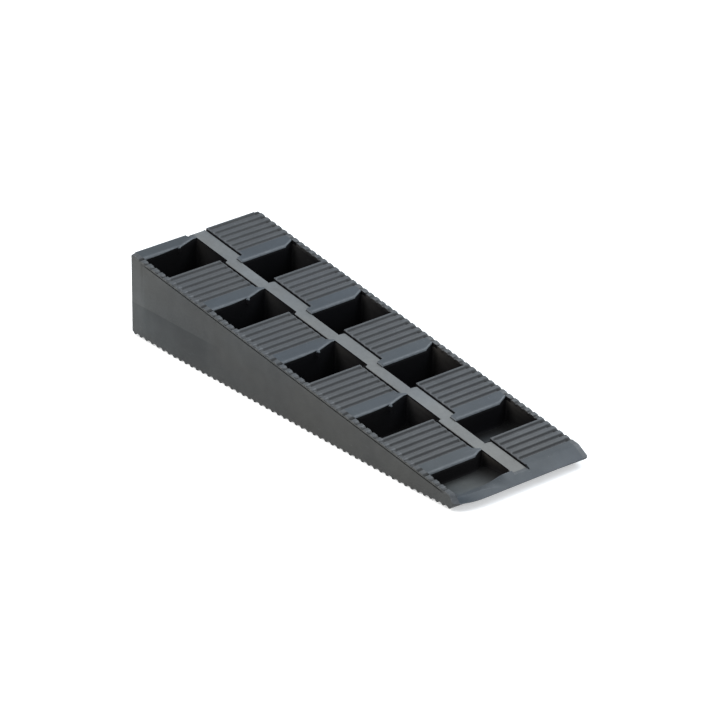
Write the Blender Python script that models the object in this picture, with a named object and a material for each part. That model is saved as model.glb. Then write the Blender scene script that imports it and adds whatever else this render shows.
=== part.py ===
"""Ramp leveler: a moulded plastic wedge that a caravan wheel is driven up to level the caravan.

Metres, +Z up. The origin is on the ground in the middle of the footprint. +X runs from the tall
heel down to the thin toe, and the near column of pockets lies at -Y. The wedge is divided along
the members of its moulding: walls, ribbed treads, pocket floors, cross webs, rail and toe plate.
Inside this file a station is a distance along the ramp, measured from the heel face.
"""

import math

import bmesh
import bpy

# Rib pattern. A period is one tread and one pocket, and it holds a whole number of ribs.
RIB_PITCH = 0.0094
RIB_DEPTH = 0.002
RIBS_PER_TREAD = 6
RIBS_PER_PERIOD = 12
CREST_SHARE = 0.40
GROOVE_SHARE = 0.32

# Pockets
POCKET_LENGTH = 0.0414
PERIODS = 4
HEEL_LAND = 0.0162
TOE_POCKET_LENGTH = 0.0376
FAR_COLUMN_SHIFT = 0.055
FLOOR_TOP = 0.008
SCOOP_START = 0.010
SCOOP_LIP_DROP = 0.0015

# Wedge
WIDTH = 0.170
HEEL_HEIGHT = 0.094
TOE_HEIGHT = 0.0185
TOE_CHAMFER = 0.0145
TIP_HEIGHT = 0.010
TIP_BLUNT = 0.0015
LARGEST_CORNER_RADIUS = 0.003

# Members
SIDE_WALL = 0.0063
HEEL_WALL = 0.004
WEB = 0.003
DECK_THICKNESS = 0.006
FOOT_DEPTH = 0.002
END_RELIEF = 0.0025
END_RELIEF_LENGTH = 0.070

# Centre rail and the slits beside it
RAIL_CENTRE = 0.0015
RAIL_HALF_WIDTH = 0.005
RAIL_SHOULDER = 0.005
RAIL_DROP = 0.0023
SLIT = 0.0038
SLIT_START = 0.002
NEAR_BRIDGE = 0.0028
FAR_BRIDGE = 0.0087
HEEL_SLIT = 0.004
RAIL_END_BRIDGE = 0.004

# Corners of the pockets that are cut back up the ramp
NEAR_DIAGONAL_RISE = 0.008
NEAR_DIAGONAL_WIDTH = 0.0275
TOE_DIAGONAL_WIDTH = 0.0155
FAR_DIAGONAL_RISE = 0.0067
FAR_DIAGONAL_WIDTH = 0.014
TOOTH_REACH = 0.0036
TOOTH_WIDTH = 0.003

# Clearances
GAP = 0.0003
STEP = 0.0004

# Fineness of the curves
ARC_STEPS = 5
SCOOP_STEPS = 6

# Worked out from the sizes above
PERIOD = RIBS_PER_PERIOD * RIB_PITCH
DECK_LENGTH = HEEL_LAND + PERIODS * PERIOD + TOE_POCKET_LENGTH
LENGTH = DECK_LENGTH + TOE_CHAMFER
SLOPE = (HEEL_HEIGHT - TOE_HEIGHT) / DECK_LENGTH
CORNER_RADIUS = min(LARGEST_CORNER_RADIUS, SIDE_WALL - GAP)
INNER_FACE = WIDTH / 2 - SIDE_WALL - GAP
NEAR_RAIL_EDGE = RAIL_CENTRE - RAIL_HALF_WIDTH
FAR_RAIL_EDGE = RAIL_CENTRE + RAIL_HALF_WIDTH
NEAR_SHOULDER_EDGE = NEAR_RAIL_EDGE - RAIL_SHOULDER
FAR_SHOULDER_EDGE = FAR_RAIL_EDGE + RAIL_SHOULDER
NEAR_TREAD_EDGE = NEAR_SHOULDER_EDGE - SLIT
FAR_TREAD_EDGE = FAR_SHOULDER_EDGE + SLIT


def pocket_spans(first_start, count):
    """The (start, end) stations of a column's full-length pockets."""
    starts = [first_start + number * PERIOD for number in range(count)]
    return [(start, start + POCKET_LENGTH) for start in starts]


NEAR_POCKETS = pocket_spans(HEEL_LAND, PERIODS) + [(DECK_LENGTH - TOE_POCKET_LENGTH, DECK_LENGTH)]
FAR_POCKETS = pocket_spans(HEEL_LAND + FAR_COLUMN_SHIFT, PERIODS)


# ---- heights -------------------------------------------------------------------------------

def crest(station):
    """Height of the plane through the rib crests."""
    return HEEL_HEIGHT - SLOPE * station


def underside(station):
    """Height of the underside of the deck's plates."""
    return crest(station) - DECK_THICKNESS


def support(station):
    """Height of everything that carries the deck's plates."""
    return underside(station) - GAP


def base(station):
    """Height of the feet: level in the middle, and lifted a little towards both ends."""
    from_end = min(station, DECK_LENGTH - station)
    share = max(0.0, 1.0 - max(0.0, from_end) / END_RELIEF_LENGTH)
    return END_RELIEF * share


def above_feet(station):
    """Height of the edges that stay clear of the ground."""
    return base(station) + FOOT_DEPTH


# ---- profiles ------------------------------------------------------------------------------

class Profile:
    """A value that runs straight between (station, value) points and is level beyond them."""

    def __init__(self, points):
        self.points = points

    def __call__(self, station):
        points = self.points
        if station <= points[0][0]:
            return points[0][1]
        for (low, low_value), (high, high_value) in zip(points, points[1:]):
            if station <= high:
                share = (station - low) / (high - low)
                return low_value + share * (high_value - low_value)
        return points[-1][1]

    def stops(self):
        return [station for station, value in self.points]


def level(value):
    return Profile([(0.0, value)])


def sloped(height, start, end, stops=()):
    """The profile of a height function, exact at the given stops."""
    return Profile([(station, height(station)) for station in sorted({start, end, *stops})])


def wave(start, end, first_crest):
    """Points of a trapezoidal wave, 1 on the crests and 0 in the grooves."""
    crest_half = CREST_SHARE * RIB_PITCH / 2
    groove_half = GROOVE_SHARE * RIB_PITCH / 2
    first = math.floor((start - first_crest) / RIB_PITCH) - 1
    last = math.ceil((end - first_crest) / RIB_PITCH) + 1
    points = []
    for number in range(first, last + 1):
        centre = first_crest + number * RIB_PITCH
        groove = centre + RIB_PITCH / 2
        points += [(centre - crest_half, 1.0), (centre + crest_half, 1.0)]
        points += [(groove - groove_half, 0.0), (groove + groove_half, 0.0)]
    whole = Profile(points)
    inside = [point for point in points if start < point[0] < end]
    return [(start, whole(start))] + inside + [(end, whole(end))]


def ribbed_top(start, end, first_crest):
    """Rib crests and grooves on top."""
    points = wave(start, end, first_crest)
    return [(station, crest(station) - RIB_DEPTH * (1.0 - share)) for station, share in points]


def ribbed_base(start, end, first_crest):
    """Feet under the wedge, which stand below the grooves of the deck."""
    points = wave(start, end, first_crest)
    bends = [END_RELIEF_LENGTH, DECK_LENGTH - END_RELIEF_LENGTH]
    shares = Profile(points)
    points += [(bend, shares(bend)) for bend in bends if start < bend < end]
    return [(station, base(station) + FOOT_DEPTH * share) for station, share in sorted(points)]


# ---- solids --------------------------------------------------------------------------------

def make_material(name, colour, roughness):
    material = bpy.data.materials.new(name)
    material.use_nodes = True
    shader = material.node_tree.nodes["Principled BSDF"]
    shader.inputs["Base Color"].default_value = (*colour, 1.0)
    shader.inputs["Roughness"].default_value = roughness
    shader.inputs["Metallic"].default_value = 0.0
    material.diffuse_color = (*colour, 1.0)
    return material


def loft(name, rings, colour, roughness):
    """A closed solid through a row of four-cornered rings, in world coordinates."""
    mesh = bpy.data.meshes.new(name)
    shape = bmesh.new()
    loops = [[shape.verts.new(corner) for corner in ring] for ring in rings]
    shape.faces.new(loops[0])
    shape.faces.new(loops[-1])
    for one, two in zip(loops, loops[1:]):
        for side in range(4):
            after = (side + 1) % 4
            shape.faces.new((one[side], one[after], two[after], two[side]))
    bmesh.ops.recalc_face_normals(shape, faces=shape.faces[:])
    shape.to_mesh(mesh)
    shape.free()
    mesh.materials.append(make_material(name, colour, roughness))
    part = bpy.data.objects.new(name, mesh)
    bpy.context.scene.collection.objects.link(part)
    return part


def placed(station, y, z):
    return (station - LENGTH / 2, y, z)


def strip(name, start, end, sides, heights, finish):
    """A solid that runs along the ramp. sides and heights are pairs of profiles."""
    profiles = [*sides, *heights]
    stops = {start, end}
    for profile in profiles:
        stops.update(stop for stop in profile.stops() if start < stop < end)
    rings = []
    for stop in sorted(stops):
        low_y, high_y, low_z, high_z = [profile(stop) for profile in profiles]
        ring = [(low_y, low_z), (high_y, low_z), (high_y, high_z), (low_y, high_z)]
        rings.append([placed(stop, y, z) for y, z in ring])
    return loft(name, rings, *finish)


# Colour and roughness of each kind of member
WALL_FINISH = ((0.060, 0.063, 0.064), 0.50)
TREAD_FINISH = ((0.055, 0.059, 0.066), 0.48)
RAIL_FINISH = ((0.130, 0.140, 0.145), 0.38)
INSIDE_FINISH = ((0.040, 0.042, 0.045), 0.60)


# ---- walls ---------------------------------------------------------------------------------

def corner_inset(distance):
    """How far a rounded corner stands back from the side, at a distance from the end face."""
    inside = CORNER_RADIUS - min(distance, CORNER_RADIUS)
    return CORNER_RADIUS - math.sqrt(CORNER_RADIUS ** 2 - inside ** 2)


def outer_side(sign):
    """The outer face of a side wall, rounded at the heel and at the toe."""
    angles = [math.pi / 2 * step / ARC_STEPS for step in range(ARC_STEPS + 1)]
    arc = [CORNER_RADIUS * (1.0 - math.cos(angle)) for angle in angles]
    points = [(distance, corner_inset(distance)) for distance in arc]
    points += [(LENGTH - distance, corner_inset(distance)) for distance in reversed(arc)]
    return Profile([(station, sign * (WIDTH / 2 - inset)) for station, inset in points])


def side_wall(name, sign, first_crest):
    inner = level(sign * (WIDTH / 2 - SIDE_WALL))
    outer = outer_side(sign)
    sides = (outer, inner) if sign < 0 else (inner, outer)
    top = ribbed_top(0.0, DECK_LENGTH, first_crest) + [(LENGTH, TIP_HEIGHT)]
    bottom = ribbed_base(0.0, DECK_LENGTH, first_crest) + [(LENGTH, TIP_HEIGHT - TIP_BLUNT)]
    strip(name, 0.0, LENGTH, sides, (Profile(bottom), Profile(top)), WALL_FINISH)


def heel_wall():
    sides = (level(-INNER_FACE), level(INNER_FACE))
    heights = (sloped(above_feet, 0.0, HEEL_WALL), sloped(support, 0.0, HEEL_WALL))
    strip("heel_wall", 0.0, HEEL_WALL, sides, heights, WALL_FINISH)


def toe_plate():
    start = DECK_LENGTH + GAP
    sides = (level(-INNER_FACE), level(INNER_FACE))
    top = Profile([(DECK_LENGTH, TOE_HEIGHT), (LENGTH, TIP_HEIGHT)])
    bottom = Profile([(DECK_LENGTH, above_feet(DECK_LENGTH)), (LENGTH, TIP_HEIGHT - TIP_BLUNT)])
    strip("toe_plate", start, LENGTH, sides, (bottom, top), TREAD_FINISH)


# ---- rail ----------------------------------------------------------------------------------

def shoulder_profile(edge, shoulder_edge, spans):
    """The rail's edge, which steps out to its shoulder along each (start, end) span."""
    points = []
    for start, end in spans:
        if start > 0.0:
            points += [(start, edge), (start + STEP, shoulder_edge)]
        points += [(end - STEP, shoulder_edge), (end, edge)]
    return Profile(points)


def near_slits():
    """The (start, end) stations of the slits beside the near treads and the heel land."""
    spans = [(0.0, HEEL_SLIT)]
    for (start, end), (next_start, next_end) in zip(NEAR_POCKETS, NEAR_POCKETS[1:]):
        spans.append((end + SLIT_START, next_start - NEAR_DIAGONAL_RISE - NEAR_BRIDGE))
    return spans


def far_slits():
    """The (start, end) stations of the slits beside the far treads."""
    starts = [0.0] + [end + SLIT_START for start, end in FAR_POCKETS]
    ends = [start - FAR_BRIDGE for start, end in FAR_POCKETS] + [DECK_LENGTH - RAIL_END_BRIDGE]
    return list(zip(starts, ends))


def centre_rail():
    near = shoulder_profile(NEAR_RAIL_EDGE, NEAR_SHOULDER_EDGE, near_slits())
    far = shoulder_profile(FAR_RAIL_EDGE, FAR_SHOULDER_EDGE, far_slits())
    top = sloped(lambda station: crest(station) - RAIL_DROP, 0.0, DECK_LENGTH)
    heights = (sloped(underside, 0.0, DECK_LENGTH), top)
    strip("centre_rail", 0.0, DECK_LENGTH, (near, far), heights, RAIL_FINISH)


def centre_web(name, low_y):
    start = HEEL_WALL + GAP
    bends = [END_RELIEF_LENGTH, DECK_LENGTH - END_RELIEF_LENGTH]
    bottom = sloped(above_feet, start, DECK_LENGTH, bends)
    sides = (level(low_y), level(low_y + WEB))
    strip(name, start, DECK_LENGTH, sides, (bottom, sloped(support, start, DECK_LENGTH)), INSIDE_FINISH)


# ---- deck ----------------------------------------------------------------------------------

def near_plate(name, start, pocket_start, ribs, diagonal_width, tooth, slit_end):
    """A plate of the near column, from its high edge to the next pocket's start."""
    land_start = start + ribs * RIB_PITCH
    end = pocket_start + TOOTH_REACH if tooth else pocket_start
    bridge_edge = NEAR_RAIL_EDGE - GAP
    cut_start = pocket_start - NEAR_DIAGONAL_RISE
    cut_end = bridge_edge - diagonal_width
    outer = [(start, -INNER_FACE), (pocket_start, -INNER_FACE)]
    inner = [(slit_end, NEAR_TREAD_EDGE), (slit_end + STEP, bridge_edge)]
    inner += [(cut_start, bridge_edge), (pocket_start, cut_end)]
    if tooth:
        tip = cut_end - TOOTH_WIDTH / 2
        outer += [(pocket_start + STEP, cut_end - TOOTH_WIDTH), (end, tip - STEP)]
        inner += [(end, tip + STEP)]
    top = [(start, crest(start)), (end, crest(end))]
    if ribs:
        top = ribbed_top(start, land_start, start) + [(end, crest(end))]
    heights = (sloped(underside, start, end), Profile(top))
    strip(name, start, end, (Profile(outer), Profile(inner)), heights, TREAD_FINISH)


def far_plate(name, start, end, land_start, slit_end, corner_cut):
    """A plate of the far column. Its far low corner may be cut back beside the pocket."""
    bridge_edge = FAR_RAIL_EDGE + GAP
    inner = [(slit_end, FAR_TREAD_EDGE), (slit_end + STEP, bridge_edge)]
    outer = [(start, INNER_FACE), (end, INNER_FACE)]
    if corner_cut:
        outer = [(end - FAR_DIAGONAL_RISE, INNER_FACE), (end, INNER_FACE - FAR_DIAGONAL_WIDTH)]
    top = ribbed_top(start, land_start, land_start) + [(end, crest(end))]
    heights = (sloped(underside, start, end), Profile(top))
    strip(name, start, end, (Profile(inner), Profile(outer)), heights, TREAD_FINISH)


def near_deck():
    slits = near_slits()
    near_plate("near_heel_land", 0.0, HEEL_LAND, 0, NEAR_DIAGONAL_WIDTH, True, slits[0][1])
    for number in range(PERIODS):
        start = NEAR_POCKETS[number][1]
        next_start = NEAR_POCKETS[number + 1][0]
        is_last = number == PERIODS - 1
        width = TOE_DIAGONAL_WIDTH if is_last else NEAR_DIAGONAL_WIDTH
        name = f"near_tread_{number + 1}"
        slit_end = slits[number + 1][1]
        near_plate(name, start, next_start, RIBS_PER_TREAD, width, not is_last, slit_end)


def far_deck():
    land = PERIOD - RIBS_PER_TREAD * RIB_PITCH - POCKET_LENGTH
    starts = [0.0] + [end for start, end in FAR_POCKETS]
    ends = [start for start, end in FAR_POCKETS]
    slit_ends = [end for start, end in far_slits()]
    for number, end in enumerate(ends):
        far_plate(f"far_tread_{number + 1}", starts[number], end, end - land, slit_ends[number], True)
    last_start = starts[-1]
    whole_ribs = math.floor((DECK_LENGTH - last_start - RIB_PITCH / 2) / RIB_PITCH)
    land_start = last_start + whole_ribs * RIB_PITCH
    name = f"far_tread_{PERIODS + 1}"
    far_plate(name, last_start, DECK_LENGTH, land_start, slit_ends[-1], False)


# ---- pockets -------------------------------------------------------------------------------

def pocket_floor(name, start, end, sides, first_crest, top):
    bottom = Profile(ribbed_base(start, end, first_crest))
    strip(name, start, end, sides, (bottom, top), INSIDE_FINISH)


def scoop_top(start):
    """The toe pocket's floor, which sweeps up to the toe plate."""
    rise_start = start + SCOOP_START
    run = DECK_LENGTH - rise_start
    rise = TOE_HEIGHT - SCOOP_LIP_DROP - FLOOR_TOP
    points = [(start, FLOOR_TOP)]
    for step in range(SCOOP_STEPS + 1):
        share = step / SCOOP_STEPS
        swept = share * share * (3 - 2 * share)
        points.append((rise_start + share * run, FLOOR_TOP + rise * swept))
    return Profile(points)


def lower_web(name, start, sides):
    end = start + WEB
    heights = (level(FLOOR_TOP + GAP), sloped(support, start, end))
    strip(name, start, end, sides, heights, INSIDE_FINISH)


def upper_web(name, pocket_face):
    """A web that carries a land's low edge. pocket_face lists its (y, station) corners."""
    rings = []
    for y, station in pocket_face:
        back = station - WEB
        foot = FLOOR_TOP + GAP
        ring = [(back, foot), (station, foot), (station, support(station)), (back, support(back))]
        rings.append([placed(at, y, z) for at, z in ring])
    loft(name, rings, *INSIDE_FINISH)


def near_pockets():
    inner = NEAR_RAIL_EDGE - GAP
    sides = (level(-INNER_FACE), level(inner))
    first_crest = NEAR_POCKETS[0][1]
    for number, (start, end) in enumerate(NEAR_POCKETS, 1):
        is_last = number == len(NEAR_POCKETS)
        floor_start = start - NEAR_DIAGONAL_RISE - WEB
        floor_end = DECK_LENGTH if is_last else end + WEB
        top = scoop_top(start) if is_last else level(FLOOR_TOP)
        pocket_floor(f"near_pocket_floor_{number}", floor_start, floor_end, sides, first_crest, top)
        width = TOE_DIAGONAL_WIDTH if is_last else NEAR_DIAGONAL_WIDTH
        face = [(-INNER_FACE, start), (inner - width, start), (inner, start - NEAR_DIAGONAL_RISE)]
        upper_web(f"near_upper_web_{number}", face)
        if not is_last:
            lower_web(f"near_lower_web_{number}", end, sides)


def far_pockets():
    inner = FAR_RAIL_EDGE + GAP
    sides = (level(inner), level(INNER_FACE))
    first_crest = FAR_POCKETS[0][1]
    for number, (start, end) in enumerate(FAR_POCKETS, 1):
        floor_start = start - FAR_DIAGONAL_RISE - WEB
        top = level(FLOOR_TOP)
        pocket_floor(f"far_pocket_floor_{number}", floor_start, end + WEB, sides, first_crest, top)
        bend = INNER_FACE - FAR_DIAGONAL_WIDTH
        face = [(inner, start), (bend, start), (INNER_FACE, start - FAR_DIAGONAL_RISE)]
        upper_web(f"far_upper_web_{number}", face)
        lower_web(f"far_lower_web_{number}", end, sides)


# ---- the whole wedge -----------------------------------------------------------------------

for old in list(bpy.data.objects):
    bpy.data.objects.remove(old, do_unlink=True)

side_wall("near_side_wall", -1, NEAR_POCKETS[0][1])
side_wall("far_side_wall", 1, FAR_POCKETS[0][1])
heel_wall()
toe_plate()
centre_rail()
centre_web("near_centre_web", NEAR_RAIL_EDGE)
centre_web("far_centre_web", FAR_RAIL_EDGE - WEB)
near_deck()
far_deck()
near_pockets()
far_pockets()
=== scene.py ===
"""Looks of the ramp leveler: one dark moulding with ribbed treads, a smooth rail and deep pockets.

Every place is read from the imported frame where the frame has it. x runs from the tall heel to
the thin toe, the near column of pockets lies at -y, and heights start at the ground. Lengths are
in metres.
"""

import math

import bmesh
import bpy
import numpy as np
from mathutils import Matrix, Vector


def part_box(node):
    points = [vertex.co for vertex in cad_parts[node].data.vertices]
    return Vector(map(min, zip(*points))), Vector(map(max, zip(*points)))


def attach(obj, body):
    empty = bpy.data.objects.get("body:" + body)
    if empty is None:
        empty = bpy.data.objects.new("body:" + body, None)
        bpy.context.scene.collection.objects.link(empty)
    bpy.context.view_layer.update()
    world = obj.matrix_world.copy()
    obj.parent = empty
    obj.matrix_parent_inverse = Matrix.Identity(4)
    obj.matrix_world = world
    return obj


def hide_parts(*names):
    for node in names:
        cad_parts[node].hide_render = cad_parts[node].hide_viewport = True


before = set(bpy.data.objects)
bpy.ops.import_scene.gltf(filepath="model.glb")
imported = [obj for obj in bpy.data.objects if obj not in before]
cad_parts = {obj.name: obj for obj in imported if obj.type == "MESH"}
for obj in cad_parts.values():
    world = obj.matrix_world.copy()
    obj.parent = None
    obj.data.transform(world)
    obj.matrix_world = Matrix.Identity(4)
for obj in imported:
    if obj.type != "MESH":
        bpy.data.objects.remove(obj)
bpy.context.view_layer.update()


# ---- sizes read from the frame ----

def low(node, axis):
    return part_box(node)[0][axis]


def high(node, axis):
    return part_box(node)[1][axis]


SEAM = 0.0003
HEEL_X = low("heel_wall", 0)
NOSE_X = high("toe_plate", 0)
DECK_END = low("toe_plate", 0) - SEAM
HEEL_Z = high("near_heel_land", 2)
SLOPE = (HEEL_Z - high("near_tread_4", 2)) / (low("near_tread_4", 0) - HEEL_X)
OUTER_NEAR = low("near_side_wall", 1)
OUTER_FAR = high("far_side_wall", 1)
INNER_NEAR = high("near_side_wall", 1)
INNER_FAR = low("far_side_wall", 1)
RAIL_NEAR = low("near_centre_web", 1)
RAIL_FAR = high("far_centre_web", 1)
SHOULDER_NEAR = low("centre_rail", 1)
SHOULDER_FAR = high("centre_rail", 1)
FLOOR_Z = high("near_pocket_floor_1", 2)


def between_webs(column, count=4):
    """Where each pocket of a column starts and ends."""
    spans = []
    for number in range(1, count + 1):
        start = high(f"{column}_upper_web_{number}", 0)
        spans.append((start, low(f"{column}_lower_web_{number}", 0)))
    return spans


NEAR_POCKETS = between_webs("near") + [(high("near_upper_web_5", 0), DECK_END)]
FAR_POCKETS = between_webs("far")

# ---- sizes of the detail ----

RIB_PITCH = 0.0094
RIB_DEPTH = 0.0023
RIBS_PER_TREAD = 6
WALL_RIB_DEPTH = 0.0013
CREST_FLAT = 0.42
GROOVE_FLAT = 0.88
DECK_THICKNESS = 0.006
FOOT_DEPTH = 0.002
END_RELIEF = 0.0025
END_RELIEF_LENGTH = 0.070
TIP_HEIGHT = 0.010
TIP_BLUNT = 0.0015
CORNER_RADIUS = 0.003
NEAR_TOE_SWEEP = 0.009
NEAR_TOE_SWEEP_WIDTH = 0.032
RAIL_DROP = 0.0023
SLIT = 0.0038
SLIT_START = 0.002
HEEL_SLIT = 0.0055
NEAR_BRIDGE = 0.0028
FAR_BRIDGE = 0.0087
RAIL_END_SLIT = 0.0055
NEAR_RISE = 0.008
NEAR_CUT = 0.0275
TOE_CUT = 0.0155
FAR_RISE = 0.0067
FAR_CUT = 0.014
TOOTH_REACH = 0.0036
HEEL_TOOTH_REACH = 0.0018
TOOTH_WIDTH = 0.0048
TOE_POCKET_CORNER = 0.0045
TREAD_NEAR = SHOULDER_NEAR - SLIT
TREAD_FAR = SHOULDER_FAR + SLIT
NEAR_SLIT_CLEARANCE = 0.0013
FAR_SLIT_COVER = 0.0026

# Each plate of the deck: where it starts, where its ribs end and where it ends
NEAR_PLATES = [(HEEL_X, HEEL_X, NEAR_POCKETS[0][0])]
for (_, plate_start), (plate_end, _) in zip(NEAR_POCKETS, NEAR_POCKETS[1:]):
    NEAR_PLATES.append((plate_start, plate_start + RIBS_PER_TREAD * RIB_PITCH, plate_end))
LAND = FAR_POCKETS[1][0] - FAR_POCKETS[0][1] - RIBS_PER_TREAD * RIB_PITCH
FAR_PLATES = [(HEEL_X, FAR_POCKETS[0][0] - LAND, FAR_POCKETS[0][0])]
for (_, plate_start), (plate_end, _) in zip(FAR_POCKETS, FAR_POCKETS[1:]):
    FAR_PLATES.append((plate_start, plate_end - LAND, plate_end))
LAST_START = FAR_POCKETS[-1][1]
LAST_RIBS = math.floor((DECK_END - LAST_START - RIB_PITCH / 2) / RIB_PITCH)
FAR_PLATES.append((LAST_START, LAST_START + LAST_RIBS * RIB_PITCH, DECK_END))

# Radii of the moulding's edges
RIM = 0.0026
DIAGONAL_RIM = 0.0015
SLIT_RIM = 0.0009
RAIL_RIM = 0.0008
TOOTH_RIM = 0.0006
HEEL_RIM = 0.0012
HEEL_LAND_RIM = 0.0020
HEEL_CORNER_RIM = 0.0038
BRIDGE_RIM = 0.0024

# Radii of the corners where the slits end, seen from above
SLIT_ROUND = 0.0018
SHOULDER_ROUND = 0.0016


# ---- heights ----

def crest(x):
    """Height of the plane through the rib crests."""
    return HEEL_Z - SLOPE * (x - HEEL_X)


def smooth(value):
    share = np.clip(value, 0.0, 1.0)
    return share * share * (3.0 - 2.0 * share)


def rib_share(x, crest_x):
    """1 on a rib's crest and 0 in a groove."""
    turns = (x - crest_x) / RIB_PITCH
    away = 2.0 * np.abs(turns - np.round(turns))
    return 1.0 - smooth((away - CREST_FLAT) / (GROOVE_FLAT - CREST_FLAT))


def foot(x, crest_x):
    """Height of the serrated underside."""
    from_end = np.minimum(x - HEEL_X, DECK_END - x)
    lift = END_RELIEF * np.clip(1.0 - np.maximum(from_end, 0.0) / END_RELIEF_LENGTH, 0.0, 1.0)
    return lift + FOOT_DEPTH * rib_share(x, crest_x)


def toe_share(x):
    """0 where the deck ends and 1 at the toe's tip."""
    return np.clip((x - DECK_END) / (NOSE_X - DECK_END), 0.0, 1.0)


def chamfer(x):
    """Height of the deck and, past its end, of the toe's chamfer."""
    sloping = crest(DECK_END) + toe_share(x) * (TIP_HEIGHT - crest(DECK_END))
    return np.where(x < DECK_END, crest(x), sloping)


def nose_base(x, deck_foot):
    """Height of the toe's underside, which rises from the foot at the deck's end."""
    return deck_foot + toe_share(x) * (TIP_HEIGHT - TIP_BLUNT - deck_foot)


def sweep_toe(rings):
    """Draws the toe back towards its near corner, which is rounder than the far one."""
    share = np.clip(1.0 - (rings[:, :, 1] - OUTER_NEAR) / NEAR_TOE_SWEEP_WIDTH, 0.0, 1.0)
    rings[:, :, 0] -= NEAR_TOE_SWEEP * share ** 2 * toe_share(rings[:, :, 0])
    return rings


# ---- outlines ----

def turn(x0, y0, x1, y1, steps=5):
    """A quarter of an ellipse that leaves (x0, y0) along y and reaches (x1, y1) along x."""
    angles = [math.pi / 2 * step / steps for step in range(steps + 1)]
    return [(x0 + (x1 - x0) * (1 - math.cos(a)), y0 + (y1 - y0) * math.sin(a)) for a in angles]


def sampler(points):
    """A function that runs straight between (x, value) points and is level beyond them."""
    xs = np.array([point[0] for point in points])
    values = np.array([point[1] for point in points])
    return lambda x: np.interp(x, xs, values)


# How far from both ends of a run its first points lie, and how close two points may be
NEAR_END = np.array([0.0001, 0.00025, 0.00045, 0.0007, 0.001, 0.0014, 0.0019])
CLOSEST = 0.00002


def stations(start, end, step, extra=()):
    """Sorted x values from start to end, close together near both ends and at the extra ones."""
    regular = np.linspace(start, end, max(2, round((end - start) / step) + 1))
    extra = [x for x in extra if start < x < end]
    every = np.concatenate([regular, start + NEAR_END, end - NEAR_END, extra])
    every = np.unique(np.round(every[(every >= start) & (every <= end)], 7))
    keep = np.concatenate([[True], np.diff(every) > CLOSEST])
    every = every[keep]
    every[0] = start
    every[-1] = end
    return every


def rounded(points, radius, closed, steps=5):
    """A path with its corners rounded."""
    path = []
    points = [Vector(point) for point in points]
    for number, corner in enumerate(points):
        if not closed and number in (0, len(points) - 1):
            path.append(corner)
            continue
        to_last = points[number - 1] - corner
        to_next = points[(number + 1) % len(points)] - corner
        start = corner + to_last.normalized() * min(radius, 0.45 * to_last.length)
        end = corner + to_next.normalized() * min(radius, 0.45 * to_next.length)
        for step in range(steps + 1):
            s = step / steps
            path.append((1 - s) ** 2 * start + 2 * s * (1 - s) * corner + s * s * end)
    return path


WORN_RADII = 1.6


def fillets(x, y, edges):
    """How far the top falls towards its rounded edges, and how near each point is to one."""
    drop = np.zeros_like(x)
    nearness = np.zeros_like(x)
    for points, radius in edges:
        distance = np.full_like(x, 1.0)
        for (ax, ay), (bx, by) in zip(points, points[1:]):
            run_x = bx - ax
            run_y = by - ay
            share = ((x - ax) * run_x + (y - ay) * run_y) / (run_x * run_x + run_y * run_y)
            share = np.clip(share, 0.0, 1.0)
            away = np.hypot(x - ax - share * run_x, y - ay - share * run_y)
            distance = np.minimum(distance, away)
        inside = np.clip(1.0 - distance / radius, 0.0, 1.0)
        drop = np.maximum(drop, radius * (1.0 - np.sqrt(1.0 - inside * inside)))
        nearness = np.maximum(nearness, np.clip(1.0 - distance / (WORN_RADII * radius), 0.0, 1.0))
    return drop, nearness


# ---- meshes ----

MERGE_DISTANCE = 2e-6
SHORTEST_EDGE = 1e-6
SHARP_DEGREES = 38

# A face looks up or aside when its normal's z or y is past these
LOOKS_UP = 0.25
LOOKS_ASIDE = 0.75
DECK_LOOKS_ASIDE = 0.6


def build(name, rings, closed, marks):
    """A closed mesh through equal rings of points. marks are values for the material's nodes."""
    count, around = rings.shape[:2]
    last = count if closed else count - 1
    faces = []
    for ring in range(last):
        after_ring = (ring + 1) % count
        for side in range(around):
            after = (side + 1) % around
            face = (ring * around + side, ring * around + after)
            faces.append((*face, after_ring * around + after, after_ring * around + side))
    if not closed:
        faces.append(tuple(range(around)))
        faces.append(tuple(range((count - 1) * around, count * around)))
    mesh = bpy.data.meshes.new(name)
    mesh.from_pydata(rings.reshape(-1, 3).tolist(), [], faces)
    for mark, values in marks.items():
        layer = mesh.attributes.new(mark, "FLOAT", "POINT")
        layer.data.foreach_set("value", np.ascontiguousarray(values, dtype=np.float32).ravel())
    shape = bmesh.new()
    shape.from_mesh(mesh)
    bmesh.ops.remove_doubles(shape, verts=shape.verts[:], dist=MERGE_DISTANCE)
    bmesh.ops.dissolve_degenerate(shape, edges=shape.edges[:], dist=SHORTEST_EDGE)
    bmesh.ops.recalc_face_normals(shape, faces=shape.faces[:])
    shape.to_mesh(mesh)
    shape.free()
    mesh.shade_smooth()
    mesh.set_sharp_from_angle(angle=math.radians(SHARP_DEGREES))
    piece = bpy.data.objects.new(name, mesh)
    bpy.context.scene.collection.objects.link(piece)
    return piece


def dress(piece, replaced, materials, choose=None):
    """Gives a piece its materials and its place in the frame."""
    for material in materials:
        piece.data.materials.append(material)
    if choose:
        for face in piece.data.polygons:
            face.material_index = choose(face.center, face.normal)
    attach(piece, "root")
    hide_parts(*replaced)
    return piece


def stack(*columns):
    """Points of shape (rings, around, 3) from (x, y, z) columns, each an array over the rings."""
    return np.stack([np.stack(np.broadcast_arrays(*column), axis=-1) for column in columns], axis=1)


def slab(x, y, top, bottom):
    """Rings of a sheet with a top grid and a level underside between its first and last y."""
    xs = x[:, 0]
    near_bottom = np.stack([xs, y[:, 0], bottom], axis=-1)[:, None, :]
    far_bottom = np.stack([xs, y[:, -1], bottom], axis=-1)[:, None, :]
    return np.concatenate([near_bottom, np.stack([x, y, top], axis=-1), far_bottom], axis=1)


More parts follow.
